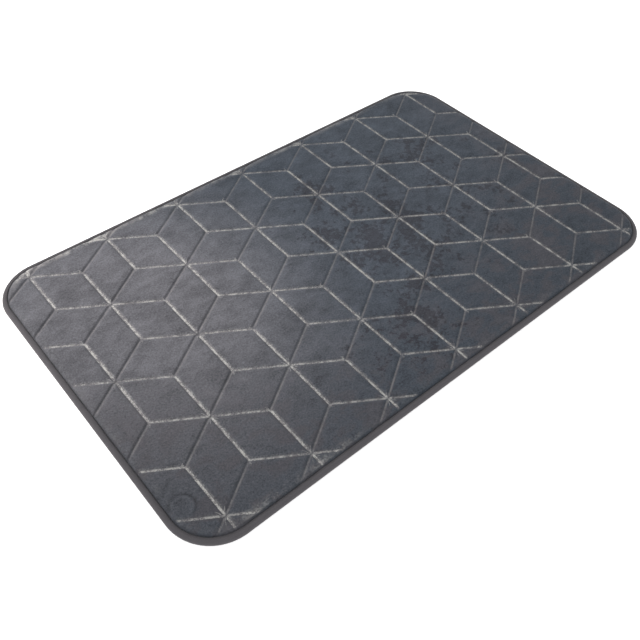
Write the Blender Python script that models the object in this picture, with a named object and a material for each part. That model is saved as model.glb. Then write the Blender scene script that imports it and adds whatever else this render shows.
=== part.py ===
"""Quilted memory-foam bath mat, 800 x 500 x 12 mm, with a pressed rhombus pattern.

Metres, +Z up. The origin is on the floor under the mat's middle, and +X runs along its length.
From the floor up it is a skin of grip dots, a backing cloth, a foam core and a pile fabric.
A folded tape binds the pressed edge of these layers, and two threads close it in a lockstitch.
"""

import math

import bmesh
import bpy
from mathutils import Matrix, Vector

MM = 0.001

# The mat's outline, over the binding.
MAT_LENGTH = 800 * MM
MAT_WIDTH = 500 * MM
CORNER_RADIUS = 62 * MM
CORNER_STEPS = 8

# Layer thicknesses, and the gap kept between layers that touch.
CLEARANCE = 0.3 * MM
DOT_HEIGHT = 0.8 * MM
DOT_SKIN = 0.4 * MM
BACKING_CLOTH = 0.6 * MM
FOAM = 7.5 * MM
FOAM_PRESSED_EDGE = 3.2 * MM
FACE_FABRIC = 1.8 * MM

# The pressed pattern: six lines meet at each star, and three at each other crossing.
# Stars stand two half pitches apart along X. A straight side is a line that runs along Y.
STAR_HALF_PITCH = 58.8 * MM
STRAIGHT_SIDE = 74.7 * MM
FIRST_STAR_FROM_END = 53 * MM
FIRST_STAR_FROM_FRONT = 29 * MM
STAR_ROW_RISE = 1.5  # from one column of stars to the next, in straight sides
GROOVE_DEPTH = 2.5 * MM
GROOVE_SIDE = 3 * MM

# The binding tape, folded over the edge.
BINDING_WIDTH = 7 * MM
TAPE = 0.8 * MM
BINDING_STEPS = 8

# The sewing threads lie in the ditch beside the tape.
THREAD = 0.5 * MM

# Grip dots, on a square grid with a dot under the mat's middle.
DOT_PITCH = 60 * MM
DOT_BASE_RADIUS = 2.2 * MM
DOT_TIP_RADIUS = 1.5 * MM
DOT_SIDES = 8
DOT_ROOT = 0.2 * MM

# The care label is caught in the seam at the back edge.
LABEL_LENGTH = 42 * MM
LABEL_WIDTH = 24 * MM
LABEL = 0.3 * MM
LABEL_FROM_MIDDLE = 270 * MM

# Heights over the floor, worked out from the layers.
DOT_SKIN_TOP = DOT_HEIGHT + DOT_SKIN
BACKING_BOTTOM = DOT_SKIN_TOP + CLEARANCE
FOAM_BOTTOM = BACKING_BOTTOM + BACKING_CLOTH + CLEARANCE
FOAM_TOP = FOAM_BOTTOM + FOAM
FACE_TOP = FOAM_TOP + CLEARANCE + FACE_FABRIC
EDGE_DROP = FOAM - FOAM_PRESSED_EDGE
BINDING_TOP = FACE_TOP - EDGE_DROP + CLEARANCE + TAPE
BINDING_BOTTOM = BACKING_BOTTOM - CLEARANCE - TAPE
BINDING_RADIUS = (BINDING_TOP - BINDING_BOTTOM) / 2

# Distances in from the mat's outline.
LAYER_INSET = BINDING_RADIUS + CLEARANCE
THREAD_INSET = BINDING_WIDTH + CLEARANCE + THREAD / 2
FIELD_INSET = BINDING_WIDTH + THREAD + 2 * CLEARANCE

FIRST_STAR = Vector(
    (FIRST_STAR_FROM_END - MAT_LENGTH / 2, FIRST_STAR_FROM_FRONT - MAT_WIDTH / 2, 0)
)
ON_A_LINE = 0.1 * MM  # a point this near one of the pattern's lines lies on it
SHARP_FROM = math.radians(35)  # edges that turn more than this are shaded sharp

# Face marks, used while a layer is shaped. A new face is in the flange until it is marked.
FLANGE = 0
FIELD = 1


def clear_scene():
    for obj in list(bpy.data.objects):
        bpy.data.objects.remove(obj, do_unlink=True)


def new_collection(name):
    collection = bpy.data.collections.new(name)
    bpy.context.scene.collection.children.link(collection)
    return collection


def new_material(name, colour, roughness, metallic=0.0):
    material = bpy.data.materials.new(name)
    material.use_nodes = True
    shader = material.node_tree.nodes["Principled BSDF"]
    shader.inputs["Base Color"].default_value = (*colour, 1)
    shader.inputs["Roughness"].default_value = roughness
    shader.inputs["Metallic"].default_value = metallic
    return material


def add_object(name, data, collection, material=None):
    obj = bpy.data.objects.new(name, data)
    collection.objects.link(obj)
    if material:
        data.materials.append(material)
    return obj


def mesh_object(name, shape, collection, material=None):
    """An object from a bmesh, with its faces turned outwards and one face mark."""
    bmesh.ops.recalc_face_normals(shape, faces=shape.faces)
    for face in shape.faces:
        face.material_index = 0
    mesh = bpy.data.meshes.new(name)
    shape.to_mesh(mesh)
    shape.free()
    mesh.shade_smooth()
    mesh.set_sharp_from_angle(angle=SHARP_FROM)
    return add_object(name, mesh, collection, material)


def as_guide(obj):
    obj.hide_render = True
    obj.display_type = "WIRE"


def rounded_face(shape, inset, height):
    """The mat's outline moved in by inset, as one flat face."""
    size = Vector((MAT_LENGTH - 2 * inset, MAT_WIDTH - 2 * inset, 1))
    place = Matrix.Translation((0, 0, height)) @ Matrix.Diagonal(size).to_4x4()
    corners = bmesh.ops.create_grid(
        shape, x_segments=1, y_segments=1, size=0.5, matrix=place
    )["verts"]
    bmesh.ops.bevel(
        shape,
        geom=corners,
        offset=CORNER_RADIUS - inset,
        offset_type="OFFSET",
        segments=CORNER_STEPS,
        profile=0.5,
        affect="VERTICES",
    )
    shape.faces.ensure_lookup_table()
    return shape.faces[0]


def raise_plate(shape, thickness):
    """Gives the open surface a vertical thickness, downwards."""
    made = bmesh.ops.extrude_face_region(shape, geom=list(shape.faces))["geom"]
    lower = [v for v in made if isinstance(v, bmesh.types.BMVert)]
    bmesh.ops.translate(shape, verts=lower, vec=(0, 0, -thickness))


def rounded_plate(inset, bottom, top):
    shape = bmesh.new()
    rounded_face(shape, inset, top)
    raise_plate(shape, top - bottom)
    return shape


def outline_points(inset, height):
    """The mat's outline moved in by inset, anticlockwise from the front right corner."""
    radius = CORNER_RADIUS - inset
    points = []
    for turn, (side_x, side_y) in enumerate(((1, -1), (1, 1), (-1, 1), (-1, -1))):
        centre_x = side_x * (MAT_LENGTH / 2 - CORNER_RADIUS)
        centre_y = side_y * (MAT_WIDTH / 2 - CORNER_RADIUS)
        for step in range(CORNER_STEPS + 1):
            angle = math.pi / 2 * (turn - 1 + step / CORNER_STEPS)
            points.append(
                (
                    centre_x + radius * math.cos(angle),
                    centre_y + radius * math.sin(angle),
                    height,
                )
            )
    return points


def closed_curve(name, points, dimensions):
    curve = bpy.data.curves.new(name, "CURVE")
    curve.dimensions = dimensions
    spline = curve.splines.new("POLY")
    spline.points.add(len(points) - 1)
    for point, place in zip(spline.points, points):
        point.co = (*place, 1)
    spline.use_cyclic_u = True
    return curve


# The pressed pattern ---------------------------------------------------------------------


def steps_between(low, high, step):
    """The whole numbers of steps that reach past low and past high."""
    return range(math.floor(low / step), math.ceil(high / step) + 1)


def pattern_lines():
    """A point and a normal for every straight line that the pattern's lines lie on."""
    left, right = -FIRST_STAR_FROM_END, MAT_LENGTH - FIRST_STAR_FROM_END
    front, back = -FIRST_STAR_FROM_FRONT, MAT_WIDTH - FIRST_STAR_FROM_FRONT
    for column in steps_between(left, right, STAR_HALF_PITCH):
        yield FIRST_STAR + Vector((column * STAR_HALF_PITCH, 0, 0)), Vector((1, 0, 0))
    side_rise = STRAIGHT_SIDE / 2
    most_rise = side_rise * MAT_LENGTH / STAR_HALF_PITCH
    for rise in (side_rise, -side_rise):
        normal = Vector((-rise, STAR_HALF_PITCH, 0)).normalized()
        for row in steps_between(front - most_rise, back + most_rise, STRAIGHT_SIDE):
            yield FIRST_STAR + Vector((0, row * STRAIGHT_SIDE, 0)), normal


def is_pressed(edge):
    """Whether an edge on one of those lines is pressed.

    Along each line the pressed stretches go star, one side on, one side off, one side on, star.
    """
    along = edge.verts[1].co - edge.verts[0].co
    middle = (edge.verts[0].co + edge.verts[1].co) / 2 - FIRST_STAR
    across = middle.x / STAR_HALF_PITCH
    up = middle.y / STRAIGHT_SIDE
    if abs(along.x) < ON_A_LINE:
        sides_from_star = up - STAR_ROW_RISE * (round(across) % 2)
    elif along.x * along.y > 0:
        sides_from_star = across - round(up - across / 2)
    else:
        sides_from_star = across + round(up + across / 2)
    return not 1 < sides_from_star % 3 < 2


def field_faces(shape):
    return [face for face in shape.faces if face.material_index == FIELD]


def touches(item, mark):
    """Whether an edge or a vertex has a face with this mark."""
    return any(face.material_index == mark for face in item.link_faces)


def cut_into_tiles(shape):
    """Cuts the field into the pattern's tiles."""
    for point, normal in pattern_lines():
        edges = [edge for edge in shape.edges if touches(edge, FIELD)]
        corners = [vert for vert in shape.verts if touches(vert, FIELD)]
        bmesh.ops.bisect_plane(
            shape,
            geom=[*field_faces(shape), *edges, *corners],
            dist=ON_A_LINE,
            plane_co=point,
            plane_no=normal,
        )
    inside = [edge for edge in shape.edges if not touches(edge, FLANGE)]
    bmesh.ops.dissolve_edges(
        shape, edges=[edge for edge in inside if not is_pressed(edge)], use_verts=False
    )


def merge_short_outline_edges(shape):
    """Closes up the field's outline where a pattern line ends beside one of its corners."""
    outline = [
        vert
        for vert in shape.verts
        if touches(vert, FIELD) and touches(vert, FLANGE)
    ]
    bmesh.ops.remove_doubles(shape, verts=outline, dist=GROOVE_SIDE / 2)


def has_room(tile):
    """Whether every side of a tile, which the border may clip, outlasts the groove's side."""
    for corner in tile.loops:
        angles = corner.calc_angle(), corner.link_loop_next.calc_angle()
        lost = sum(GROOVE_SIDE / math.tan(angle / 2) for angle in angles)
        if corner.edge.calc_length() <= lost:
            return False
    return True


def quilted_surface(top):
    """The pressed surface: tiles raised between grooves, inside a low flange."""
    shape = bmesh.new()
    whole = rounded_face(shape, LAYER_INSET, top - EDGE_DROP)
    bmesh.ops.inset_region(
        shape,
        faces=[whole],
        thickness=FIELD_INSET - LAYER_INSET,
        use_boundary=True,
        use_even_offset=True,
    )
    whole.material_index = FIELD
    cut_into_tiles(shape)
    merge_short_outline_edges(shape)
    tiles = [tile for tile in field_faces(shape) if has_room(tile)]
    for vert in shape.verts:
        if not touches(vert, FLANGE):
            vert.co.z = top - GROOVE_DEPTH
    bmesh.ops.inset_individual(
        shape, faces=tiles, thickness=GROOVE_SIDE, use_even_offset=True
    )
    for tile in tiles:
        for vert in tile.verts:
            vert.co.z = top
    bmesh.ops.triangulate(shape, faces=shape.faces)
    return shape


def make_face_fabric(collection):
    shape = quilted_surface(FACE_TOP)
    raise_plate(shape, FACE_FABRIC)
    fabric = new_material("grey_velour", (0.10, 0.105, 0.12), 0.95)
    return mesh_object("face_fabric", shape, collection, fabric)


def make_foam_core(collection):
    shape = quilted_surface(FOAM_TOP)
    rim = [edge for edge in shape.edges if edge.is_boundary]
    made = bmesh.ops.extrude_edge_only(shape, edges=rim)["geom"]
    for item in made:
        if isinstance(item, bmesh.types.BMVert):
            item.co.z = FOAM_BOTTOM
    lower = [item for item in made if isinstance(item, bmesh.types.BMEdge)]
    bmesh.ops.edgeloop_fill(shape, edges=[edge for edge in lower if edge.is_boundary])
    foam = new_material("memory_foam", (0.80, 0.78, 0.68), 0.9)
    return mesh_object("foam_core", shape, collection, foam)


# The underside ---------------------------------------------------------------------------


def make_backing_cloth(collection):
    shape = rounded_plate(LAYER_INSET, BACKING_BOTTOM, BACKING_BOTTOM + BACKING_CLOTH)
    cloth = new_material("backing_knit", (0.06, 0.06, 0.065), 0.9)
    return mesh_object("backing_cloth", shape, collection, cloth)


def label_middle():
    """The middle of the care label, seen from above."""
    outer_end = MAT_WIDTH / 2 - THREAD_INSET + THREAD / 2
    return Vector((LABEL_FROM_MIDDLE, outer_end - LABEL_LENGTH / 2, 0))


def dot_is_clear(x, y, margin):
    """Whether a grip dot lies on the skin, and not where the label lies."""
    reach_x = MAT_LENGTH / 2 - margin
    reach_y = MAT_WIDTH / 2 - margin
    corner = CORNER_RADIUS - margin
    past_x = max(abs(x) - reach_x + corner, 0)
    past_y = max(abs(y) - reach_y + corner, 0)
    off_label_x = abs(x - label_middle().x) - LABEL_WIDTH / 2
    off_label_y = abs(y - label_middle().y) - LABEL_LENGTH / 2
    beside_label = max(off_label_x, off_label_y) > DOT_BASE_RADIUS + CLEARANCE
    inside = max(abs(x) - reach_x, abs(y) - reach_y) < 0
    return beside_label and inside and math.hypot(past_x, past_y) < corner


def make_dots(collection):
    """All the grip dots as one helper, rooted in the skin above them."""
    shape = bmesh.new()
    margin = FIELD_INSET + 2 * DOT_BASE_RADIUS
    columns = int((MAT_LENGTH / 2 - margin) / DOT_PITCH)
    rows = int((MAT_WIDTH / 2 - margin) / DOT_PITCH)
    depth = DOT_HEIGHT + DOT_ROOT
    for column in range(-columns, columns + 1):
        for row in range(-rows, rows + 1):
            x, y = column * DOT_PITCH, row * DOT_PITCH
            if dot_is_clear(x, y, margin):
                bmesh.ops.create_cone(
                    shape,
                    cap_ends=True,
                    segments=DOT_SIDES,
                    radius1=DOT_TIP_RADIUS,
                    radius2=DOT_BASE_RADIUS,
                    depth=depth,
                    matrix=Matrix.Translation((x, y, depth / 2)),
                )
    dots = mesh_object("dots_to_join", shape, collection)
    as_guide(dots)
    return dots


def make_grip_dots(collection, helpers):
    shape = rounded_plate(FIELD_INSET, DOT_HEIGHT, DOT_SKIN_TOP)
    rubber = new_material("grip_rubber", (0.03, 0.03, 0.032), 0.55)
    skin = mesh_object("grip_dots", shape, collection, rubber)
    join = skin.modifiers.new("join_dots", "BOOLEAN")
    join.operation = "UNION"
    join.object = make_dots(helpers)
    return skin


def make_care_label(collection):
    shape = bmesh.new()
    top = BACKING_BOTTOM - CLEARANCE - THREAD - CLEARANCE
    size = Matrix.Diagonal((LABEL_WIDTH, LABEL_LENGTH, LABEL)).to_4x4()
    place = Matrix.Translation(label_middle() + Vector((0, 0, top - LABEL / 2)))
    bmesh.ops.create_cube(shape, size=1, matrix=place @ size)
    satin = new_material("label_satin", (0.75, 0.75, 0.74), 0.5)
    return mesh_object("care_label", shape, collection, satin)


# The edge --------------------------------------------------------------------------------


def binding_profile():
    """The folded tape's section: x is in from the mat's outline, y is height."""
    middle = (BINDING_TOP + BINDING_BOTTOM) / 2
    points = []
    for radius, turn in ((BINDING_RADIUS, 1), (BINDING_RADIUS - TAPE, -1)):
        points.append((BINDING_WIDTH, middle - turn * radius, 0))
        for step in range(BINDING_STEPS + 1):
            angle = turn * math.pi * (step / BINDING_STEPS - 0.5)
            points.append(
                (
                    BINDING_RADIUS - radius * math.cos(angle),
                    middle + radius * math.sin(angle),
                    0,
                )
            )
        points.append((BINDING_WIDTH, middle + turn * radius, 0))
    return points


def make_edge_binding(collection, helpers):
    section = closed_curve("binding_section", binding_profile(), "2D")
    section.fill_mode = "NONE"
    guide = add_object("binding_section", section, helpers)
    as_guide(guide)
    path = closed_curve("edge_binding", outline_points(0, 0), "2D")
    path.fill_mode = "NONE"
    path.bevel_mode = "OBJECT"
    path.bevel_object = guide
    tape = new_material("binding_tape", (0.07, 0.07, 0.072), 0.85)
    return add_object("edge_binding", path, collection, tape)


def make_thread(name, height, collection, material):
    """A sewing thread that runs right round the mat in the ditch beside the tape."""
    curve = closed_curve(name, outline_points(THREAD_INSET, height), "3D")
    curve.bevel_depth = THREAD / 2
    curve.bevel_resolution = 2
    return add_object(name, curve, collection, material)


def make_threads(collection):
    thread = new_material("sewing_thread", (0.05, 0.05, 0.052), 0.7)
    rest = CLEARANCE + THREAD / 2
    make_thread("needle_thread", FACE_TOP - EDGE_DROP + rest, collection, thread)
    make_thread("bobbin_thread", BACKING_BOTTOM - rest, collection, thread)


def main():
    clear_scene()
    mat = new_collection("bath_mat")
    helpers = new_collection("helpers")
    make_grip_dots(mat, helpers)
    make_backing_cloth(mat)
    make_foam_core(mat)
    make_face_fabric(mat)
    make_edge_binding(mat, helpers)
    make_threads(mat)
    make_care_label(mat)


main()
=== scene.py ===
"""A quilted memory-foam bath mat: how each of its pieces looks, built round the fixed frame.

The add-on's operators each make one piece, or one group of like pieces, and one sets the stage.
Metres, +Z up, with the origin on the floor under the middle of the mat and +X along its length.
"""

import math

import bmesh
import bpy
from bpy.props import FloatProperty, FloatVectorProperty, IntProperty, PointerProperty
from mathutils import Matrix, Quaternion, Vector, noise


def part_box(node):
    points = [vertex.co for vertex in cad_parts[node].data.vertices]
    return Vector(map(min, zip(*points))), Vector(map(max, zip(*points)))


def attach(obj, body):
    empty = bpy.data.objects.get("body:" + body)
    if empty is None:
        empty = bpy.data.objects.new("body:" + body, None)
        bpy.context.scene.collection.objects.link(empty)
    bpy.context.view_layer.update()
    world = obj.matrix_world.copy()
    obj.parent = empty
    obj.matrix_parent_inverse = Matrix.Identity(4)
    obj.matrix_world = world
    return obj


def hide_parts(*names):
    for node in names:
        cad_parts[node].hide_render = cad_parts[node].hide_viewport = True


bl_info = {
    "name": "Quilted Bath Mat",
    "version": (1, 0, 0),
    "blender": (4, 5, 0),
    "location": "3D View > Sidebar > Bath Mat",
    "description": "Builds a bound, quilted memory-foam bath mat round its frame",
    "category": "Object",
}

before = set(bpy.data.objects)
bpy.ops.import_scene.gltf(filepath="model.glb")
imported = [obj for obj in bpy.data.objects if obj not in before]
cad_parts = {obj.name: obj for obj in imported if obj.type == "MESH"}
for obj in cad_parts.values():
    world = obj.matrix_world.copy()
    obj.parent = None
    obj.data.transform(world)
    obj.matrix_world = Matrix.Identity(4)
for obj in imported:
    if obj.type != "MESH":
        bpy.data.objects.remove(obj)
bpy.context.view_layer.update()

MM = 0.001
BODY = "root"

BINDING_LOW, BINDING_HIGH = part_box("edge_binding")
FACE_LOW, FACE_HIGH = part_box("face_fabric")
FOAM_LOW, FOAM_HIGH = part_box("foam_core")
BACKING_LOW, BACKING_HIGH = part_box("backing_cloth")
GRIP_LOW, GRIP_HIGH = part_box("grip_dots")
NEEDLE_LOW, NEEDLE_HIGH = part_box("needle_thread")
BOBBIN_LOW, BOBBIN_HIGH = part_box("bobbin_thread")
LABEL_LOW, LABEL_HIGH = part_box("care_label")

SEAM_GAP = 0.3 * MM  # from the needle thread to the tape's lip, and to the rolled face
TAPE_WIDTH = BINDING_HIGH.x - NEEDLE_HIGH.x - SEAM_GAP

# The three directions that the quilt's lines run in.
STRAIGHT, RISING, FALLING = range(3)


# Sizes and colours that a user would change ------


def setting(kind, **traits):
    """A maker of settings of one kind from their name, description and default."""

    def made(name, description, default):
        return kind(name=name, description=description, default=default, **traits)

    return made


length = setting(FloatProperty, unit="LENGTH", precision=5)
proportion = setting(FloatProperty, subtype="FACTOR", min=0, max=1)
number = setting(IntProperty, min=2)
colour = setting(FloatVectorProperty, subtype="COLOR", size=3)


class QuiltSettings(bpy.types.PropertyGroup):
    """The pressed pattern of the face."""

    half_pitch: length("Half pitch", "Half the way between two stars of one row", 58.8 * MM)
    straight_side: length("Straight side", "Side of a tile that runs across", 74.7 * MM)
    star_from_end: length("First star from end", "Left end to first star", 53 * MM)
    star_from_front: length("First star from front", "Front to first star", 29 * MM)
    depth: length("Depth", "How deep a line is pressed below a tile's crown", 2.3 * MM)
    floor_width: length("Floor width", "Width of a pressed line's flat floor", 1.8 * MM)
    wall_reach: length("Wall reach", "From a line's middle to its shoulder", 2.9 * MM)
    crown_reach: length("Crown reach", "From a line's middle to the flat crown", 17 * MM)
    wall_share: proportion("Wall share", "Share of the depth in the steep wall", 0.62)
    steps: number("Steps", "Mesh steps from a tile's side to its middle", 10)


class EdgeSettings(bpy.types.PropertyGroup):
    """The bound edge."""

    corner_radius: length("Corner radius", "Radius of the mat's corners", 62 * MM)
    back_lean: length("Back lean", "How much the back edge comes in at its right end", 4 * MM)
    tape_width: length("Tape width", "How far the tape reaches in over the face", TAPE_WIDTH)
    tape_thickness: length("Tape thickness", "Thickness of the binding tape", 0.8 * MM)
    roll_width: length("Roll width", "How wide the face rolls down to the ditch", 5.5 * MM)
    stitch_pitch: length("Stitch pitch", "From one stitch to the next", 3.6 * MM)
    pucker: length("Pucker", "How much the tape is drawn in at a stitch", 0.1 * MM)


class UndersideSettings(bpy.types.PropertyGroup):
    """The non-slip back."""

    dot_pitch: length("Dot pitch", "From one grip dot to the next", 12 * MM)
    dot_base: length("Dot base", "Radius of a dot where it leaves the skin", 2.2 * MM)
    dot_tip: length("Dot tip", "Radius of a dot's flat tip", 1.5 * MM)


class ColourSettings(bpy.types.PropertyGroup):
    """The colours of the materials."""

    velour: colour("Velour", "Pile standing up", (0.049, 0.058, 0.072))
    velour_brushed: colour("Brushed velour", "Pile brushed flat", (0.021, 0.020, 0.024))
    velour_dry: colour("Dry velour", "Pile rubbed dull near the front", (0.052, 0.048, 0.053))
    # Painted sheen: the velour in the pool of light on the left, lighter and less blue.
    velour_sheen_pool: colour("Lying velour", "Pile lying the other way", (0.101, 0.101, 0.112))
    # Painted glints: the palest colour of a pressed line, partly the melted pile and partly
    # painted sheen.
    frost_and_sheen: colour("Pressed line", "Pile melted flat in a line", (0.346, 0.343, 0.328))
    crushed: colour("Crushed pile", "Pile half melted beside a line", (0.165, 0.158, 0.160))
    tape: colour("Tape", "The binding", (0.077, 0.073, 0.079))
    # Partly the thread's own dark colour and partly painted shade, darkened so that the needle
    # row reads as the shaded ditch.
    thread: colour("Thread", "Sewing thread", (0.020, 0.020, 0.023))
    foam: colour("Foam", "Foam core", (0.80, 0.76, 0.62))
    backing: colour("Backing", "Knitted backing", (0.055, 0.055, 0.06))
    grip: colour("Grip", "Skin and dots", (0.03, 0.03, 0.033))
    label: colour("Label", "Blank satin label", (0.72, 0.72, 0.70))
    floor: colour("Floor", "Studio floor", (0.96, 0.96, 0.96))


# Shapes that the pieces share ------


def ease(share):
    """A smooth step from 0 to 1."""
    share = min(max(share, 0), 1)
    return share * share * (3 - 2 * share)


def wander(x, y, size, seed=0):
    """Smooth noise from about -1 to 1 that changes over a distance of size."""
    return noise.noise(Vector((x / size, y / size, seed)))


class Outline:
    """The mat's rounded outline, cut a little out of square, which each layer follows."""

    # Which way each corner lies, and its shares of the lean along the mat and across it.
    CORNERS = ((1, -1), (0.3, 0)), ((1, 1), (0, -1)), ((-1, 1), (0.5, 0.2)), ((-1, -1), (0, 0.2))

    def __init__(self, edge):
        self.radius = edge.corner_radius
        side = BINDING_HIGH - Vector((self.radius, self.radius, 0))
        corners = []
        for (along, across), (lean_along, lean_across) in self.CORNERS:
            x = along * side.x + lean_along * edge.back_lean
            y = across * side.y + lean_across * edge.back_lean
            corners.append(Vector((x, y, 0)))
        self.sides = []
        for index, corner in enumerate(corners):
            run = corners[(index + 1) % 4] - corner
            forward = run.normalized()
            self.sides.append((corner, forward, Vector((forward.y, -forward.x, 0)), run.length))

    def nearest(self, x, y):
        """How far in from the outline a place lies, and the direction straight out there."""
        place = Vector((x, y, 0))
        outs = [(place - corner).dot(normal) for corner, _, normal, _ in self.sides]
        furthest = max(range(4), key=outs.__getitem__)
        if outs[furthest] <= 0:
            return self.radius - outs[furthest], self.sides[furthest][2]
        away = None
        for corner, forward, _, span in self.sides:
            along = min(max((place - corner).dot(forward), 0), span)
            gap = place - corner - forward * along
            if away is None or gap.length < away.length:
                away = gap
        return self.radius - away.length, away.normalized()

    def moved_to(self, point, inset):
        """The nearest place to a point that lies this far in."""
        now, out = self.nearest(point.x, point.y)
        return point + out * (now - inset)

    def cuts(self, inset, corner_steps=12):
        """A point and an outward normal for each flat cut that together make the outline."""
        for index, (corner, _, normal, _) in enumerate(self.sides):
            before = self.sides[index - 1][2]
            for step in range(1, corner_steps + 1):
                turned = before.slerp(normal, step / corner_steps)
                yield corner + turned * (self.radius - inset), turned

    def way_round(self, inset):
        """The length of the outline at an inset."""
        return sum(side[3] for side in self.sides) + 2 * math.pi * (self.radius - inset)

    def stations(self, inset, count):
        """The place and outward direction of evenly spaced points at an inset."""
        whole = self.way_round(inset)
        for step in range(count):
            left = whole * step / count
            for index, (corner, forward, normal, span) in enumerate(self.sides):
                after = self.sides[(index + 1) % 4][2]
                arc = (self.radius - inset) * normal.angle(after)
                if left < span or index == 3 and left >= span + arc:
                    out, centre = normal, corner + forward * min(left, span)
                    break
                left -= span
                if left < arc:
                    out, centre = normal.slerp(after, left / arc), corner + forward * span
                    break
                left -= arc
            yield centre + out * (self.radius - inset), out


class Quilt:
    """The pressed pattern. Six lines meet at each star, and three at each other crossing."""

    ROW_RISE = 1.5  # from one row of stars to the next, in straight sides

    def __init__(self, settings):
        self.half_pitch = settings.half_pitch
        self.side = settings.straight_side
        left = BINDING_LOW.x + settings.star_from_end
        front = BINDING_LOW.y + settings.star_from_front
        self.first = Vector((left, front, 0))
        self.slant_gap = self.side * self.half_pitch / math.hypot(self.half_pitch, self.side / 2)

    def star(self, row, number):
        """Where a star stands. Every other row is set half a pitch along."""
        across = 2 * number + row % 2
        return self.first + Vector((across * self.half_pitch, row * self.ROW_RISE * self.side, 0))

    def tiles(self):
        """One corner and the two sides of each rhombus over the mat and round it."""
        up = Vector((0, self.side, 0))
        rising = Vector((self.half_pitch, self.side / 2, 0))
        falling = Vector((self.half_pitch, -self.side / 2, 0))
        rows = math.ceil((BINDING_HIGH.y - self.first.y) / (self.ROW_RISE * self.side))
        columns = math.ceil((BINDING_HIGH.x - self.first.x) / (2 * self.half_pitch))
        for row in range(-1, rows + 1):
            for number in range(-1, columns + 1):
                star = self.star(row, number)
                yield star, falling, rising
                yield star, rising, up
                yield star, up, -falling

    def nearest_line(self, x, y):
        """The distance to the nearest pressed line, below 0 on the line's left side, the way
        that the line runs, and the distance to the nearest star.

        A place lies in the hexagon of its nearest star, and the lines there are its spokes.
        """
        across = (x - self.first.x) / self.half_pitch
        up = (y - self.first.y) / self.side
        middle_row = round(up / self.ROW_RISE)
        best = None
        for row in (middle_row - 1, middle_row, middle_row + 1):
            offset = row % 2
            dx = across - 2 * round((across - offset) / 2) - offset
            dy = up - row * self.ROW_RISE
            spokes = dx, dx / 2 - dy, dx / 2 + dy
            if best is None or max(map(abs, spokes)) < max(map(abs, best)):
                best = spokes
                star = math.hypot(dx * self.half_pitch, dy * self.side)
        gaps = best[0] * self.half_pitch, best[1] * self.slant_gap, best[2] * self.slant_gap
        kind = min(range(3), key=lambda way: abs(gaps[way]))
        return gaps[kind], kind, star


def graded_steps(settings):
    """Shares along a tile's side, close together beside the lines and wide apart between."""
    even, crowded, crowding = 0.18, 0.82, 2.3
    half = []
    for step in range(settings.steps + 1):
        share = step / settings.steps
        half.append(0.5 * (even * share + crowded * share**crowding))
    return half + [1 - share for share in reversed(half[:-1])]


def tile_grid(corner, side_u, side_v, shares):
    """A flat mesh of one tile, with its points at the given shares of both sides."""
    shape = bmesh.new()
    rows = [[shape.verts.new(corner + side_u * u + side_v * v) for u in shares] for v in shares]
    for lower, upper in zip(rows, rows[1:]):
        for index in range(len(shares) - 1):
            shape.faces.new((lower[index], lower[index + 1], upper[index + 1], upper[index]))
    return shape


def clip(shape, cuts, snap=0.25 * MM):
    """Cuts off what lies outside the flat cuts. A point within snap of a cut counts as on it."""
    for point, normal in cuts:
        if any((vert.co - point).dot(normal) > 0 for vert in shape.verts):
            cut = {"dist": snap, "plane_co": point, "plane_no": normal, "clear_outer": True}
            whole = [*shape.verts, *shape.edges, *shape.faces]
            bmesh.ops.bisect_plane(shape, geom=whole, **cut)
        if not shape.faces:
            return


def shape_from(points, faces, shape=None):
    """A bmesh of plain points and faces, or those added to a shape."""
    mesh = bpy.data.meshes.new("plain")
    mesh.from_pydata(points, [], faces)
    shape = shape or bmesh.new()
    shape.from_mesh(mesh)
    bpy.data.meshes.remove(mesh)
    return shape


def new_points(made):
    """The points among what a bmesh operator made."""
    return [item for item in made["geom"] if isinstance(item, bmesh.types.BMVert)]


def widen_to(shape, outline, insets):
    """Adds bands round the open rim, each further out, as cloth laid to the edge."""
    for inset in insets:
        rim = [edge for edge in shape.edges if edge.is_boundary]
        for vert in new_points(bmesh.ops.extrude_edge_only(shape, edges=rim)):
            vert.co = outline.moved_to(vert.co, inset)


def give_thickness(shape, thickness):
    """Closes an open top surface with a copy of itself below."""
    for vert in new_points(bmesh.ops.extrude_face_region(shape, geom=list(shape.faces))):
        vert.co.z -= thickness
    bmesh.ops.recalc_face_normals(shape, faces=shape.faces)


def finished_piece(name, shape, material, replaced, smooth=True):
    """An object from a bmesh that rides on the mat and stands for its CAD node."""
    mesh = bpy.data.meshes.new(name)
    shape.to_mesh(mesh)
    shape.free()
    if smooth:
        mesh.shade_smooth()
    piece = bpy.data.objects.new(name, mesh)
    bpy.context.scene.collection.objects.link(piece)
    return declare_piece(piece, material, replaced)


def declare_piece(piece, material, replaced):
    """Gives a piece its material and its body, and hides the CAD node that it stands for."""
    piece.data.materials.clear()
    piece.data.materials.append(material)
    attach(piece, BODY)
    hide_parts(replaced)
    return piece


def copies(piece, places, shape=None):
    """A bmesh of copies of a piece's mesh, each turned to its own outward direction, or those
    added to a shape."""
    source = [vert.co.copy() for vert in piece.data.vertices]
    polygons = [tuple(polygon.vertices) for polygon in piece.data.polygons]
    points, faces = [], []
    for place, out in places:
        start = len(points)
        along = Vector((out.y, -out.x, 0))
        for point in source:
            points.append(place + along * point.x + out * point.y + Vector((0, 0, point.z)))
        faces += [[start + index for index in polygon] for polygon in polygons]
    bpy.data.objects.remove(piece, do_unlink=True)
    return shape_from(points, faces, shape)


# Materials ------


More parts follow.
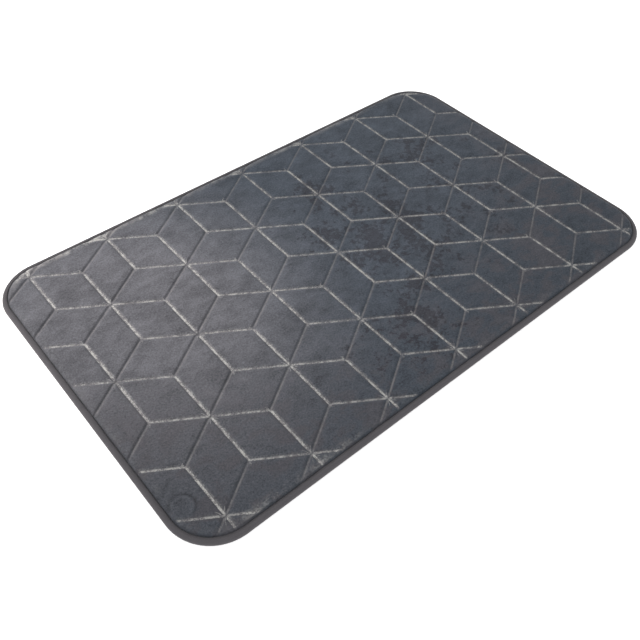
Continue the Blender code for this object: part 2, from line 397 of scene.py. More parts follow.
class Socket:
    """A node's output that takes part in sums, so that an expression adds its Math nodes."""

    def __init__(self, tree, output):
        self.tree = tree
        self.output = output

    def maths(self, operation, *values):
        """A Math node on this and other values."""
        node = self.tree.nodes.new("ShaderNodeMath")
        node.operation = operation
        for slot, value in zip(node.inputs, values):
            connect(self.tree, slot, value)
        return Socket(self.tree, node.outputs[0])

    def __add__(self, other):
        return self.maths("ADD", self, other)

    def __sub__(self, other):
        return self.maths("SUBTRACT", self, other)

    def __rsub__(self, other):
        return self.maths("SUBTRACT", other, self)

    def __mul__(self, other):
        return self.maths("MULTIPLY", self, other)

    __radd__ = __add__
    __rmul__ = __mul__


def connect(tree, slot, value):
    """Feeds an input with a link, a number, a vector or a colour."""
    if isinstance(value, Socket):
        tree.links.new(value.output, slot)
    elif slot.type == "RGBA":
        slot.default_value = (*value, 1)
    else:
        slot.default_value = value


class Finish:
    """A procedural material while it is put together."""

    def __init__(self, name, **constants):
        self.material = bpy.data.materials.new(name)
        self.material.use_nodes = True
        self.tree = self.material.node_tree
        self.shader = self.tree.nodes["Principled BSDF"]
        for socket, value in constants.items():
            connect(self.tree, self.shader.inputs[socket.replace("_", " ")], value)
        self.place = self.node("ShaderNodeTexCoord", output="Object")

    def node(self, kind, settings=None, inputs=None, output=0):
        """Any node: its settings come first, and then the values or links of its inputs."""
        node = self.tree.nodes.new(kind)
        for setting, value in (settings or {}).items():
            setattr(node, setting, value)
        for socket, value in (inputs or {}).items():
            connect(self.tree, node.inputs[socket], value)
        return Socket(self.tree, node.outputs[output])

    def scaled(self, scale, added=(0, 0, 0)):
        """The place on the mat, scaled along each axis and then moved."""
        inputs = {0: self.place, 1: scale, 2: added}
        return self.node("ShaderNodeVectorMath", {"operation": "MULTIPLY_ADD"}, inputs)

    def noise(self, size, detail=2.0, roughness=0.5, stretch=(1, 1, 1), distortion=0.0):
        """Noise from 0 to 1 whose blobs are about size across."""
        place = self.scaled([1 / (size * share) for share in stretch])
        inputs = {"Vector": place, "Scale": 1.0, "Detail": detail, "Roughness": roughness}
        return self.node("ShaderNodeTexNoise", None, {**inputs, "Distortion": distortion})

    def step(self, value, low, high):
        """A smooth step from 0 at low to 1 at high."""
        inputs = {"Value": value, "From Min": low, "From Max": high}
        return self.node("ShaderNodeMapRange", {"interpolation_type": "SMOOTHSTEP"}, inputs)

    def mix(self, share, first, second, blend="MIX"):
        """One colour over another."""
        settings = {"data_type": "RGBA", "blend_type": blend}
        return self.node("ShaderNodeMix", settings, {0: share, 6: first, 7: second}, 2)

    def shaded(self, tint, amount):
        """A colour made lighter or darker by an amount."""
        levels = dict.fromkeys(("Red", "Green", "Blue"), amount)
        grey = self.node("ShaderNodeCombineColor", None, levels)
        return self.mix(1.0, tint, grey, "MULTIPLY")

    def attribute(self, name):
        """A number that the mesh keeps for each of its points."""
        return self.node("ShaderNodeAttribute", {"attribute_name": name}, output="Fac")

    def near(self, centre, reach, full=0.25):
        """1 round a place on the mat, and 0 beyond its reach, which is given for X and Y."""
        scale = (1 / reach[0], 1 / reach[1], 0)
        moved = self.scaled(scale, (-centre[0] * scale[0], -centre[1] * scale[1], 0))
        far = self.node("ShaderNodeVectorMath", {"operation": "LENGTH"}, {0: moved}, "Value")
        return 1 - self.step(far, full, 1.0)

    def feed(self, socket, value):
        """Links a value to the shader."""
        connect(self.tree, self.shader.inputs[socket], value)

    def relief(self, height, strength, distance=1 * MM):
        """Fine relief that the mesh is too coarse for."""
        inputs = {"Height": height, "Strength": strength, "Distance": distance}
        self.feed("Normal", self.node("ShaderNodeBump", None, inputs, "Normal"))


# Zones of the face: the middle of each, and its reach along X and Y, in metres.
# Painted sheen: the pool of light on the left, where the pile and its lines are painted lighter.
SHEEN_POOL_ZONE = (-0.29, 0.07), (0.34, 0.42)
# Painted light: the back of the face, painted brighter where the window light falls.
LIT_ZONE = (0.04, 0.28), (0.7, 0.65)
FRESH_ZONE = (-0.04, 0.14), (0.6, 0.42)
WORN_ZONES = ((0.15, 0.02), (0.29, 0.22)), ((-0.02, -0.17), (0.14, 0.09))
# And how strongly the rolled edge is painted pale as a highlight: at the back, the back left and
# the front left.
CREST_HIGHLIGHT_ZONES = (
    ((0.05, 0.26), (2.0, 0.07), 0.5),
    ((-0.27, 0.25), (0.15, 0.06), 0.6),
    ((-0.26, -0.24), (0.13, 0.06), 0.3),
)


class VelourFinish(Finish):
    """Short grey pile, brushed into darker patches, and melted pale in the pressed lines with
    painted sheen and glints on them, a painted pool of sheen on the left, a painted highlight
    along the rolled edge and painted shade in the creases, at the stars and in the ditch, with
    the distances from a line, a star and the rim in mm."""

    def __init__(self, colours):
        sheen = {"Sheen_Weight": 0.16, "Sheen_Roughness": 0.4, "Sheen_Tint": (0.92, 0.94, 1.0)}
        super().__init__("grey_velour", Specular_IOR_Level=0.15, **sheen)
        self.fibre = self.noise(1.4 * MM)
        self.tuft = self.noise(2.4 * MM, roughness=0.6)
        self.area = self.noise(42 * MM)
        self.ragged = self.noise(1.5 * MM, detail=3, roughness=0.6)
        self.patchy = self.noise(12 * MM, detail=3, roughness=0.65)
        self.speckle = self.step(self.tuft * 0.5 + self.ragged * 0.5, 0.42, 0.60)
        # Painted sheen: 1 in the pool of light on the left, which lightens the pile and the
        # colour of the lines and deepens their painted shade.
        self.lying = self.near(*SHEEN_POOL_ZONE)
        self.pale = self.attribute("line_pale")
        self.distance = self.attribute("line_distance")
        side = self.attribute("line_side")
        self.offset = self.distance * side + (self.ragged - 0.5) * 1.4
        self.star = self.attribute("star_distance")
        self.crossing = 1 - self.step(self.star, 1.0, 4.0)
        self.rim = self.attribute("rim")

        frost_and_sheen = self.frost_and_sheen()
        cloth = self.shaded(self.pile(colours), self.shadow())
        self.feed("Base Color", self.mix(frost_and_sheen + self.crest_highlight(), cloth, self.melted(colours)))
        self.feed("Roughness", 0.95 - frost_and_sheen * 0.3)
        self.relief(self.fibre * 0.4 + self.tuft * 0.8, 0.35)

    def pile(self, colours):
        """The pile between the lines, brushed the other way in torn, map-like patches."""
        cloud = self.noise(26 * MM, detail=4, roughness=0.6, stretch=(1, 0.6, 1), distortion=0.4)
        speck = self.noise(7 * MM, detail=4, roughness=0.62, distortion=0.3)
        worn = sum(self.near(*zone) for zone in WORN_ZONES)
        by_star = (1 - self.step(self.star, 4, 40)) * 0.035
        torn = speck * 0.55 + self.area * 0.6 + worn * 0.1 + by_star
        brushed = self.step(torn, 0.69, 0.735) * self.step(worn, 0.02, 0.4)
        soft = self.step(torn, 0.56, 0.74) * self.step(worn, 0.0, 0.6)
        margin = self.step(1 - self.near(*FRESH_ZONE), 0.35, 0.9)
        dry = self.step(cloud * 0.6 + self.area * 0.4, 0.45, 0.56) * margin
        # Painted sheen: the pile is painted lighter in the pool of light on the left.
        cloth = self.mix(self.lying, colours.velour, colours.velour_sheen_pool)
        cloth = self.mix(dry * 0.6, cloth, colours.velour_dry)
        cloth = self.mix(brushed * 0.45 + soft * 0.2, cloth, colours.velour_brushed)
        # Painted light: the pile is painted brighter toward the back, where the window light
        # falls.
        lit = self.near(*LIT_ZONE) * 0.2 + 0.93
        grain = self.fibre * 0.9 + self.tuft + cloud * 1.1 + self.area * 0.6 - 0.79
        return self.shaded(cloth, grain * (lit + worn * 0.12))

    def frost_and_sheen(self):
        """How far the pile is melted pale and painted with sheen: a thin core in each line, and a
        speckled shoulder, both set by the painted pool of sheen on the left.
        """
        pale = self.pale
        core_end = self.step(self.offset, 0.4 + pale * 0.6, 2.2)
        core = self.step(self.offset, -1.3, -0.4) * (1 - core_end)
        shoulder = self.step(self.offset, 0.2, 1.4) * (1 - self.step(self.offset, 2.2, 4.6))
        broken = self.step(self.patchy * 0.6 + self.ragged * 0.4, 0.36, 0.58)
        wide = shoulder * pale * pale * (0.10 + self.speckle * 0.40) * (0.4 + self.lying * 0.7)
        frost_and_sheen = (core * (0.4 + broken * 0.6) + wide) * pale * (1.12 - self.lying * 0.26)
        frost_and_sheen = frost_and_sheen * (1 - self.crossing * 0.55) * self.step(self.rim, 0.5, 5)
        return frost_and_sheen * (1 - self.step(self.distance, 4.2, 5.2))

    def melted(self, colours):
        """The colour of melted pile, with painted glints where a line is palest, painted brighter
        still in the pool of sheen on the left.
        """
        hard = self.step(self.pale, 0.4, 0.8)
        painted_glint = self.step(self.ragged * 0.5 + self.patchy * 0.5, 0.42, 0.60) * hard
        return self.shaded(self.mix(painted_glint, colours.crushed, colours.frost_and_sheen), 1 + self.lying * 0.35)

    def shadow(self):
        """What the far side of a line, the ditch and the corner mark leave of the light."""
        crease = self.step(self.offset, -4.2, -2.2) * (1 - self.step(self.offset, -1.5, -0.5))
        crease = crease * (1 - self.step(self.distance, 5.0, 6.5))
        crease = crease * self.attribute("line_shaded") * (0.35 + self.speckle * 0.8)
        ditch = 1 - self.step(self.rim, 0.4, 3.0)
        # Painted shade in the creases and at the stars, only in the pool of sheen, and in the
        # ditch everywhere.
        dark = (crease + self.crossing) * self.lying * 0.42 + ditch * 0.12
        return (1 - dark) * (1 + self.attribute("mark_tone") * 0.45)

    def crest_highlight(self):
        """Painted highlight: how pale the rolled edge is painted where it faces the back light,
        most of all at the back.
        """
        crest_highlight = self.step(self.rim, 0.8, 2.6) * (1 - self.step(self.rim, 5, 13))
        where = sum(self.near(*zone) * share for *zone, share in CREST_HIGHLIGHT_ZONES) + 0.06
        torn = self.patchy * 0.5 + self.area * 0.3 + self.tuft * 0.2
        return crest_highlight * self.step(torn, 0.36, 0.62) * where


def tape_finish(colours):
    """Brushed knit tape, with painted shade toward its lip beside the ditch."""
    sheen = {"Sheen_Weight": 0.18, "Sheen_Roughness": 0.4}
    finish = Finish("binding_tape", Specular_IOR_Level=0.2, Roughness=0.85, **sheen)
    knit = finish.noise(0.9 * MM, detail=2)
    cloudy = finish.noise(12 * MM, detail=3)
    # Painted shade: the tape is darkened toward its lip, where the ditch shades it.
    drawn = 1 - finish.step(finish.attribute("lip_distance"), -1.5, 4.0)
    grain = (0.72 + knit * 0.35 + cloudy * 0.22) * (1 - drawn * 0.34)
    finish.feed("Base Color", finish.shaded(colours.tape, grain))
    finish.relief(knit, 0.45, 0.5 * MM)
    return finish.material


def plain_finish(name, base, grain_size, roughness, relief, shine=0.5, sheen=0.0):
    """A quiet finish with a fine grain, for foam, knit, rubber, thread and satin."""
    finish = Finish(name, Roughness=roughness, Specular_IOR_Level=shine, Sheen_Weight=sheen)
    fine = finish.noise(grain_size, detail=3)
    cloudy = finish.noise(grain_size * 14, detail=3)
    grain = 0.76 + fine * 0.3 + cloudy * 0.18
    finish.feed("Base Color", finish.shaded(base, grain))
    finish.relief(fine, relief, grain_size / 2)
    return finish.material


# The pieces ------


class CornerMark:
    """A faint arch pressed into the pile near the front left corner, open to the corner."""

    RADIUS = 13 * MM
    WIDTH = 2 * MM
    REACH = 24 * MM
    FROM_LEFT = 24 * MM
    FROM_FRONT = 66 * MM
    LONGEST_EDGE = 2.2 * MM

    def __init__(self):
        left = BINDING_LOW.x + self.FROM_LEFT
        front = BINDING_LOW.y + self.FROM_FRONT
        self.middle = Vector((left, front, 0))

    def tone(self, x, y):
        """Below 0 in the pressed arch, above 0 on the pile pushed up inside it."""
        away = Vector((x, y, 0)) - self.middle
        if away.length > self.REACH or away.length < MM:
            return 0
        faced = away.normalized().dot(Vector((1, 1, 0)).normalized())
        drawn = ease((faced + 0.75) / 0.6)
        apart = 0.6 * self.WIDTH
        groove = (away.length - self.RADIUS - apart) / self.WIDTH
        ridge = (away.length - self.RADIUS + apart) / self.WIDTH
        return drawn * (0.6 * math.exp(-(ridge**2)) - math.exp(-(groove**2)))

    def refine(self, shape):
        """Makes the mesh fine enough to hold the mark."""
        edges = []
        for edge in shape.edges:
            away = max((vert.co - self.middle).length for vert in edge.verts)
            if away < self.REACH and edge.calc_length() > self.LONGEST_EDGE:
                edges.append(edge)
        bmesh.ops.subdivide_edges(shape, edges=edges, cuts=2, use_grid_fill=True)


class Face:
    """The shape of the quilted face: its height over the floor at any place."""

    # How pale a line's floor is, partly the melted pile's own colour and partly painted sheen
    # that differs with the way the line faces the light, and how dark the painted shade on its
    # far side is, for each way that it runs.
    PALE = {STRAIGHT: 1.0, RISING: 0.5, FALLING: 0.76}
    SHADED = {STRAIGHT: 0.4, RISING: 1.0, FALLING: 0.0}

    # How far the cloth strays up and down, and over what distance.
    SLOW_WAVE, SLOW_WAVE_SIZE = 0.12 * MM, 24 * MM
    FINE_WAVE, FINE_WAVE_SIZE = 0.06 * MM, 5 * MM
    FLOOR_WANDER, FLOOR_WANDER_SIZE = 0.4, 7 * MM  # of a line's width, as a share
    MARK_DEPTH = 0.45 * MM
    # Where the bands down the rolled edge lie, as shares of its width.
    BANDS = (0.8, 0.62, 0.46, 0.32, 0.2, 0.1, 0.03, 0)

    def __init__(self, scene):
        self.settings = scene.bath_mat_quilt
        self.edge = scene.bath_mat_edge
        self.quilt = Quilt(self.settings)
        self.outline = Outline(self.edge)
        self.mark = CornerMark()
        self.cloth = FACE_HIGH.z - FOAM_HIGH.z
        self.flange = FACE_LOW.z + self.cloth
        thread = NEEDLE_HIGH.z - NEEDLE_LOW.z
        self.ditch = BINDING_HIGH.x - NEEDLE_HIGH.x + thread + SEAM_GAP

    def pressed(self, distance, x, y):
        """How far down the face is pressed at a distance from a line, as a share."""
        settings = self.settings
        wandering = self.FLOOR_WANDER * wander(x, y, self.FLOOR_WANDER_SIZE, 3)
        floor = settings.floor_width / 2 * (1 + wandering)
        wall = 1 - ease((distance - floor) / (settings.wall_reach - floor))
        crown = max(1 - distance / settings.crown_reach, 0) ** 2
        return settings.wall_share * wall + (1 - settings.wall_share) * crown

    def height(self, x, y, distance):
        """The face's height at a place that lies at a distance from a line."""
        pressed = self.pressed(distance, x, y)
        top = FACE_HIGH.z - self.settings.depth * pressed
        top += self.SLOW_WAVE * wander(x, y, self.SLOW_WAVE_SIZE) * (1 - pressed)
        top += self.FINE_WAVE * wander(x, y, self.FINE_WAVE_SIZE, 5)
        top += self.MARK_DEPTH * self.mark.tone(x, y)
        roll = (self.outline.nearest(x, y)[0] - self.ditch) / self.edge.roll_width
        roll = min(max(roll, 0), 1)
        return self.flange + (top - self.flange) * math.sqrt(1 - (1 - roll) ** 2)

    def band_insets(self, outer):
        """Insets of the bands that carry the cloth down its rolled edge to under the tape."""
        return [self.ditch + share * self.edge.roll_width for share in self.BANDS] + [outer]

    def field_inset(self):
        """Where the quilted field ends and its rolled edge starts."""
        return self.ditch + self.edge.roll_width


def quilted_field(face, weld=0.05 * MM, rim_weld=0.3 * MM):
    """A flat mesh of all tiles, clipped where the rolled edge starts. Points closer than weld
    are joined, and points of the rim closer than rim_weld."""
    inset = face.field_inset()
    shares = graded_steps(face.settings)
    cuts = list(face.outline.cuts(inset))
    points, faces = [], []
    for corner, side_u, side_v in face.quilt.tiles():
        shape = tile_grid(corner, side_u, side_v, shares)
        clip(shape, cuts)
        shape.verts.index_update()
        start = len(points)
        points += [vert.co.copy() for vert in shape.verts]
        faces += [[start + vert.index for vert in part.verts] for part in shape.faces]
        shape.free()
    field = shape_from(points, faces)
    bmesh.ops.remove_doubles(field, verts=field.verts, dist=weld)
    rim = [vert for vert in field.verts if vert.is_boundary]
    for vert in rim:
        vert.co = face.outline.moved_to(vert.co, inset)
    bmesh.ops.remove_doubles(field, verts=rim, dist=rim_weld)
    loose = [vert for vert in field.verts if not vert.link_faces]
    bmesh.ops.delete(field, geom=loose, context="VERTS")
    bmesh.ops.recalc_face_normals(field, faces=field.faces)
    if next(iter(field.faces)).normal.z < 0:
        bmesh.ops.reverse_faces(field, faces=field.faces)
    return field


def lay_face(shape, face, drop=0.0):
    """Moves each point of a flat quilted mesh to the face's height."""
    for vert in shape.verts:
        offset, _, _ = face.quilt.nearest_line(vert.co.x, vert.co.y)
        vert.co.z = face.height(vert.co.x, vert.co.y, abs(offset)) - drop


def store_mark(piece, name, values):
    """Keeps a number for each point of a piece for its material to read."""
    piece.data.attributes.new(name, "FLOAT", "POINT").data.foreach_set("value", values)


def mark_lines(piece, face):
    """Stores what the velour's colours follow at each point, with distances in mm."""
    names = "line_distance line_side line_pale line_shaded star_distance rim mark_tone"
    on_line = 0.05 * MM
    rows = []
    for vert in piece.data.vertices:
        x, y, _ = vert.co
        offset, kind, star = face.quilt.nearest_line(x, y)
        side = 0 if abs(offset) < on_line else math.copysign(1, offset)
        rim = (face.outline.nearest(x, y)[0] - face.ditch) / MM
        tones = face.PALE[kind], face.SHADED[kind]
        rows.append((abs(offset) / MM, side, *tones, star / MM, rim, face.mark.tone(x, y)))
    for name, values in zip(names.split(), zip(*rows)):
        store_mark(piece, name, values)


class BATHMAT_OT_cover_cloth(bpy.types.Operator):
    """Makes the quilted velour cover"""

    bl_idname = "bath_mat.cover_cloth"
    bl_label = "Cover Cloth"

    FULLNESS = 0.8  # the cloth's share of the room over the foam

    def execute(self, context):
        face = Face(context.scene)
        shape = quilted_field(face)
        face.mark.refine(shape)
        widen_to(shape, face.outline, face.band_insets(BINDING_HIGH.x - FACE_HIGH.x))
        lay_face(shape, face)
        give_thickness(shape, face.cloth * self.FULLNESS)
        velour = VelourFinish(context.scene.bath_mat_colours).material
        cover = finished_piece("cover_cloth", shape, velour, "face_fabric")
        mark_lines(cover, face)
        return {"FINISHED"}


class BATHMAT_OT_foam_pad(bpy.types.Operator):
    """Makes the pressed foam core"""

    bl_idname = "bath_mat.foam_pad"
    bl_label = "Foam Pad"

    def execute(self, context):
        face = Face(context.scene)
        shape = quilted_field(face)
        widen_to(shape, face.outline, face.band_insets(BINDING_HIGH.x - FOAM_HIGH.x))
        lay_face(shape, face, drop=face.cloth)
        rim = [edge for edge in shape.edges if edge.is_boundary]
        for vert in new_points(bmesh.ops.extrude_edge_only(shape, edges=rim)):
            vert.co.z = FOAM_LOW.z
        lower = [edge for edge in shape.edges if edge.is_boundary]
        bmesh.ops.edgeloop_fill(shape, edges=lower)
        bmesh.ops.recalc_face_normals(shape, faces=shape.faces)
        colours = context.scene.bath_mat_colours
        foam = plain_finish("open_cell_foam", colours.foam, 1.1 * MM, 0.95, 0.6)
        pad = finished_piece("foam_pad", shape, foam, "foam_core")
        return {"FINISHED"}


LAYER_POINTS = 240  # round the outline of a flat layer


def flat_layer(outline, inset, low, high):
    """A flat rounded plate between two heights."""
    shape = bmesh.new()
    stations = outline.stations(inset, LAYER_POINTS)
    shape.faces.new([shape.verts.new((place.x, place.y, high)) for place, _ in stations])
    give_thickness(shape, high - low)
    return shape


class BATHMAT_OT_backing_cloth(bpy.types.Operator):
    """Makes the knitted backing cloth"""

    bl_idname = "bath_mat.backing_cloth"
    bl_label = "Backing Cloth"

    def execute(self, context):
        outline = Outline(context.scene.bath_mat_edge)
        inset = BINDING_HIGH.x - BACKING_HIGH.x
        shape = flat_layer(outline, inset, BACKING_LOW.z, BACKING_HIGH.z)
        colours = context.scene.bath_mat_colours
        knit = plain_finish("backing_knit", colours.backing, 0.8 * MM, 0.9, 0.5)
        cloth = finished_piece("knit_backing", shape, knit, "backing_cloth", False)
        return {"FINISHED"}


def grip_dot(settings, height, root):
    """One moulded dot, tip down, with its root sunk in the skin and its tip's rim softened."""
    bpy.ops.object.select_all(action="DESELECT")
    tall = height + root
    radii = {"radius1": settings.dot_tip, "radius2": settings.dot_base}
    bpy.ops.mesh.primitive_cone_add(vertices=8, depth=tall, location=(0, 0, tall / 2), **radii)
    dot = bpy.context.object
    bpy.ops.object.transform_apply(location=True, rotation=False, scale=False)
    bevel = dot.modifiers.new("soft_tip", "BEVEL")
    bevel.width = height * 0.45
    bevel.segments = 1
    bevel.limit_method = "ANGLE"
    bevel.angle_limit = math.radians(50)  # more than between two sides of the dot
    bpy.ops.object.modifier_apply(modifier="soft_tip")
    return dot


class BATHMAT_OT_grip_dots(bpy.types.Operator):
    """Makes the non-slip skin and its dots"""

    bl_idname = "bath_mat.grip_dots"
    bl_label = "Grip Dots"

    SKIN_RISE = 0.2  # over the bobbin thread, as a share of the room there
    LABEL_ROOM = 1.2  # from the label to a dot's middle, in dot radii

    def execute(self, context):
        settings = context.scene.bath_mat_underside
        outline = Outline(context.scene.bath_mat_edge)
        inset = BINDING_HIGH.x - GRIP_HIGH.x
        skin_low = BOBBIN_LOW.z + (GRIP_HIGH.z - BOBBIN_LOW.z) * self.SKIN_RISE
        skin = flat_layer(outline, inset, skin_low, GRIP_HIGH.z)
        margin = inset + 2 * settings.dot_base
        columns = int((BINDING_HIGH.x - margin) / settings.dot_pitch)
        rows = int((BINDING_HIGH.y - margin) / settings.dot_pitch)
        label_room = self.LABEL_ROOM * settings.dot_base
        places = []
        for column in range(-columns, columns + 1):
            for row in range(-rows, rows + 1):
                x, y = column * settings.dot_pitch, row * settings.dot_pitch
                off_label = max(LABEL_LOW.x - x, x - LABEL_HIGH.x, LABEL_LOW.y - y)
                if outline.nearest(x, y)[0] > margin and off_label > label_room:
                    places.append((Vector((x, y, 0)), Vector((0, 1, 0))))
        dot = grip_dot(settings, skin_low, (GRIP_HIGH.z - skin_low) / 2)
        shape = copies(dot, places, skin)
        colours = context.scene.bath_mat_colours
        rubber = plain_finish("grip_rubber", colours.grip, 1.5 * MM, 0.5, 0.2, shine=0.45)
        finished_piece("grip_skin", shape, rubber, "grip_dots", False)
        return {"FINISHED"}


class BATHMAT_OT_edge_binding(bpy.types.Operator):
    """Makes the folded tape round the edge"""

    bl_idname = "bath_mat.edge_binding"
    bl_label = "Edge Binding"

    TURN_STEPS = 12
    LIP_STEPS = 3
    SUNK = 0.12 * MM  # below the tape's full height, to which the ripple adds
    RIPPLE, RIPPLE_SIZE = 0.18 * MM, 9 * MM
    LIP_WANDER, LIP_WANDER_SIZE = 0.5 * MM, 45 * MM
    SWELL = -0.6  # of the pucker, between two stitches
    FAR_FROM_LIP = 20.0  # mm, for points that aren't on the upper side

    def section(self, radius, width, reach):
        """The inset and the rise, as a share of the reach, of points along the folded tape,
        from its lower lip round to its upper."""
        shares = [1 - step / self.LIP_STEPS for step in range(self.LIP_STEPS)]
        insets = [radius + (width - radius) * share for share in shares]
        turn = []
        for step in range(self.TURN_STEPS + 1):
            angle = math.pi * (step / self.TURN_STEPS - 0.5)
            turn.append((radius - reach * math.cos(angle), math.sin(angle)))
        lower = [(inset, -1) for inset in insets]
        upper = [(inset, 1) for inset in reversed(insets)]
        return lower + turn + upper

    def execute(self, context):
        edge = context.scene.bath_mat_edge
        outline = Outline(edge)
        middle = (BINDING_LOW.z + BINDING_HIGH.z) / 2
        radius = (BINDING_HIGH.z - BINDING_LOW.z) / 2
        inner = radius - edge.tape_thickness
        outer_side = self.section(radius, edge.tape_width, radius)
        inner_side = self.section(radius, edge.tape_width, inner)[::-1]
        count = round(outline.way_round(0) / edge.stitch_pitch) * 2
        shape = bmesh.new()
        rings, to_lip = [], []
        for index, (place, out) in enumerate(outline.stations(0, count)):
            drawn = edge.pucker * (1 if index % 2 else self.SWELL)
            drawn += self.RIPPLE * wander(place.x, place.y, self.RIPPLE_SIZE, 7)
            lip = self.LIP_WANDER * wander(place.x, place.y, self.LIP_WANDER_SIZE, 9)
            ring = []
            for points, reach, squeeze in ((outer_side, radius, 1.0), (inner_side, inner, 0.5)):
                for inset, rise in points:
                    over = max(rise, 0) * ease((inset - radius * 0.4) / radius)
                    deep = inset + lip * over
                    tall = middle + rise * (reach - (drawn + self.SUNK) * squeeze * over)
                    spot = place - out * max(deep, 0)
                    ring.append(shape.verts.new((spot.x, spot.y, tall)))
                    lip_gap = (edge.tape_width - inset) / MM
                    to_lip.append(lip_gap if rise > 0 else self.FAR_FROM_LIP)
            rings.append(ring)
        for one, two in zip(rings, rings[1:] + rings[:1]):
            for corners in zip(one, one[1:] + one[:1], two[1:] + two[:1], two):
                shape.faces.new(corners)
        bmesh.ops.recalc_face_normals(shape, faces=shape.faces)
        tape = tape_finish(context.scene.bath_mat_colours)
        binding = finished_piece("folded_tape", shape, tape, "edge_binding")
        store_mark(binding, "lip_distance", to_lip)
        outline.way_round(radius)
        return {"FINISHED"}


# Where a stitch is cut so that it can bend, as shares of its span, and how it tapers.
STITCH_CUTS = (-0.34, -0.17, 0, 0.17, 0.34)
STITCH_TAPER = 0.45


def one_stitch(span, thread, arch):
    """One stitch of thread, lying along X, arched up in its middle and dipping at its ends."""
    bpy.ops.object.select_all(action="DESELECT")
    lying = (0, math.pi / 2, 0)
    bpy.ops.mesh.primitive_cylinder_add(vertices=7, radius=thread / 2, depth=span, rotation=lying)
    stitch = bpy.context.object
    bpy.ops.object.transform_apply(location=False, rotation=True, scale=False)
    bpy.ops.object.mode_set(mode="EDIT")
    for share in STITCH_CUTS:
        bpy.ops.mesh.select_all(action="SELECT")
        bpy.ops.mesh.bisect(plane_co=(share * span, 0, 0), plane_no=(1, 0, 0))
    bpy.ops.object.mode_set(mode="OBJECT")
    for vert in stitch.data.vertices:
        share = 2 * vert.co.x / span
        slim = 1 - STITCH_TAPER * share**4
        vert.co.y *= slim
        vert.co.z = vert.co.z * slim - arch * share**2
    stitch.data.update()
    return stitch


def stitch_row(scene, name, low, high, upright, replaced, filled=0.86, arch=0.55):
    """A row of stitches right round the mat, where the CAD thread lies. Each fills a share of
    the pitch, and arches by a share of the thread's thickness."""
    edge = scene.bath_mat_edge
    outline = Outline(edge)
    thread = high.z - low.z
    inset = BINDING_HIGH.x - high.x + thread / 2
    count = round(outline.way_round(inset) / edge.stitch_pitch)
    stitch = one_stitch(edge.stitch_pitch * filled, thread, upright * thread * arch)
    middle = Vector((0, 0, (low.z + high.z) / 2))
    places = [(place + middle, out) for place, out in outline.stations(inset, count)]
    shape = copies(stitch, places)
    tint = scene.bath_mat_colours.thread
    twist = plain_finish(name + "_twist", tint, 0.35 * MM, 0.6, 0.5, sheen=0.1)
    return finished_piece(name, shape, twist, replaced)


class BATHMAT_OT_stitching(bpy.types.Operator):
    """Makes the rows of lockstitches over and under the seam"""

    bl_idname = "bath_mat.stitching"
    bl_label = "Stitching"

    def execute(self, context):
        scene = context.scene
        stitch_row(scene, "needle_stitches", NEEDLE_LOW, NEEDLE_HIGH, 1, "needle_thread")
        stitch_row(scene, "bobbin_stitches", BOBBIN_LOW, BOBBIN_HIGH, -1, "bobbin_thread")
        return {"FINISHED"}


class BATHMAT_OT_satin_label(bpy.types.Operator):
    """Makes the blank satin label under the back edge"""

    bl_idname = "bath_mat.satin_label"
    bl_label = "Satin Label"

    # Shares of the label's room: its thickness, its rise over the middle and its waves.
    THICKNESS = 0.5
    RISE = 0.1
    WAVE, WAVE_SIZE = 0.3, 9 * MM

    def execute(self, context):
        size = LABEL_HIGH - LABEL_LOW
        middle = (LABEL_HIGH + LABEL_LOW) / 2
        bpy.ops.object.select_all(action="DESELECT")
        bpy.ops.mesh.primitive_grid_add(x_subdivisions=14, y_subdivisions=24, size=1)
        label = context.object
        label.name = label.data.name = "satin_label"
        for vert in label.data.vertices:
            x, y = vert.co.x * size.x, vert.co.y * size.y
            wave = self.WAVE * size.z * wander(x, y, self.WAVE_SIZE, 11)
            vert.co = (x + middle.x, y + middle.y, middle.z + size.z * self.RISE + wave)
        solid = label.modifiers.new("cloth", "SOLIDIFY")
        solid.thickness = size.z * self.THICKNESS
        solid.offset = 0
        bpy.ops.object.modifier_apply(modifier="cloth")
        label.data.shade_smooth()
        label.data.set_sharp_from_angle(angle=math.radians(50))
        tint = context.scene.bath_mat_colours.label
        satin = plain_finish("label_satin", tint, 0.4 * MM, 0.35, 0.25)
        declare_piece(label, satin, "care_label")
        return {"FINISHED"}


# The stage ------

VIEW_AZIMUTH = math.radians(-41.76)
VIEW_ELEVATION = math.radians(49.01)
VIEW_ROLL = math.radians(1.89)
VIEW_DISTANCE = 0.9695
VIEW_AIM = Vector((-0.0946, -0.0768, 0.0105))
VIEW_LENS = 42.4

FLOOR_GLOW = 0.55
ROOM_LIGHT = 1.05


def add_camera():
    """The camera, placed by the way that it looks at its aim."""
    bpy.ops.object.camera_add()
    camera = bpy.context.object
    camera.name = "studio_camera"
    across = math.cos(VIEW_ELEVATION)
    x, y = math.sin(VIEW_AZIMUTH) * across, -math.cos(VIEW_AZIMUTH) * across
    back = Vector((x, y, math.sin(VIEW_ELEVATION)))
    camera.location = VIEW_AIM + back * VIEW_DISTANCE
    level = (-back).to_track_quat("-Z", "Y")
    camera.rotation_mode = "QUATERNION"
    camera.rotation_quaternion = level @ Quaternion((0, 0, 1), VIEW_ROLL)
    camera.data.lens = VIEW_LENS
    camera.data.sensor_width = 36
    camera.data.clip_start = 0.05
    bpy.context.scene.camera = camera


def add_area_light(name, place, aim, size, power, spread=180, tint=(1, 1, 1)):
    """A soft light that faces its aim, with its power in watts and its spread in degrees."""
    bpy.ops.object.light_add(type="AREA", location=place)
    light = bpy.context.object
    light.name = name
    light.rotation_mode = "QUATERNION"
    light.rotation_quaternion = (Vector(aim) - Vector(place)).to_track_quat("-Z", "Y")
    light.data.shape = "RECTANGLE"
    light.data.size, light.data.size_y = size
    light.data.energy = power
    light.data.spread = math.radians(spread)
    light.data.color = tint


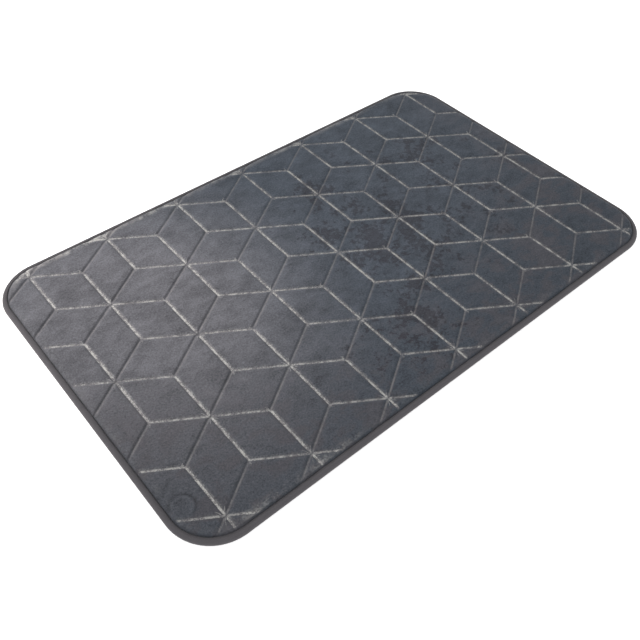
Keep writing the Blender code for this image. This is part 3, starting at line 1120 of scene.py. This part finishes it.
class BATHMAT_OT_stage(bpy.types.Operator):
    """Makes the floor, the light and the camera"""

    bl_idname = "bath_mat.stage"
    bl_label = "Stage"

    def execute(self, context):
        bpy.ops.object.select_all(action="DESELECT")
        bpy.ops.mesh.primitive_plane_add(size=12)
        floor = context.object
        floor.name = "studio_floor"
        colours = context.scene.bath_mat_colours
        glow = {"Emission_Color": colours.floor, "Emission_Strength": FLOOR_GLOW}
        paint = Finish("studio_floor", Base_Color=colours.floor, Roughness=0.9, **glow)
        floor.data.materials.append(paint.material)
        window = {"size": (1.8, 1.0), "power": 2.8}
        add_area_light("window", place=(-0.3, 2.0, 1.3), aim=(0, 0, 0), **window)
        lamp = {"size": (0.3, 0.3), "power": 0.4, "spread": 32, "tint": (1.0, 0.93, 0.90)}
        add_area_light("lamp", place=(-0.95, 0.75, 0.75), aim=(-0.28, 0.12, 0), **lamp)
        world = bpy.data.worlds.new("white_room")
        world.use_nodes = True
        background = world.node_tree.nodes["Background"]
        background.inputs["Color"].default_value = (1, 1, 1, 1)
        background.inputs["Strength"].default_value = ROOM_LIGHT
        context.scene.world = world
        context.scene.view_settings.view_transform = "Standard"
        add_camera()
        return {"FINISHED"}


# The add-on ------


class BATHMAT_PT_pieces(bpy.types.Panel):
    """Lists the pieces of the mat."""

    bl_idname = "BATHMAT_PT_pieces"
    bl_label = "Bath Mat"
    bl_space_type = "VIEW_3D"
    bl_region_type = "UI"
    bl_category = "Bath Mat"

    def draw(self, context):
        for piece in PIECES:
            self.layout.operator(piece.bl_idname)
        for group in SETTINGS:
            box = self.layout.box()
            settings = getattr(context.scene, group)
            for name in settings.__annotations__:
                box.prop(settings, name)


SETTINGS = {
    "bath_mat_quilt": QuiltSettings,
    "bath_mat_edge": EdgeSettings,
    "bath_mat_underside": UndersideSettings,
    "bath_mat_colours": ColourSettings,
}
PIECES = (
    BATHMAT_OT_stage,
    BATHMAT_OT_cover_cloth,
    BATHMAT_OT_foam_pad,
    BATHMAT_OT_backing_cloth,
    BATHMAT_OT_grip_dots,
    BATHMAT_OT_edge_binding,
    BATHMAT_OT_stitching,
    BATHMAT_OT_satin_label,
)


def register():
    for kind in (*SETTINGS.values(), *PIECES, BATHMAT_PT_pieces):
        bpy.utils.register_class(kind)
    for name, kind in SETTINGS.items():
        setattr(bpy.types.Scene, name, PointerProperty(type=kind))


def unregister():
    for name in SETTINGS:
        delattr(bpy.types.Scene, name)
    for kind in (BATHMAT_PT_pieces, *reversed(PIECES), *SETTINGS.values()):
        bpy.utils.unregister_class(kind)


def main():
    register()
    for piece in PIECES:
        group, name = piece.bl_idname.split(".")
        getattr(getattr(bpy.ops, group), name)()


if __name__ == "__main__":
    main()
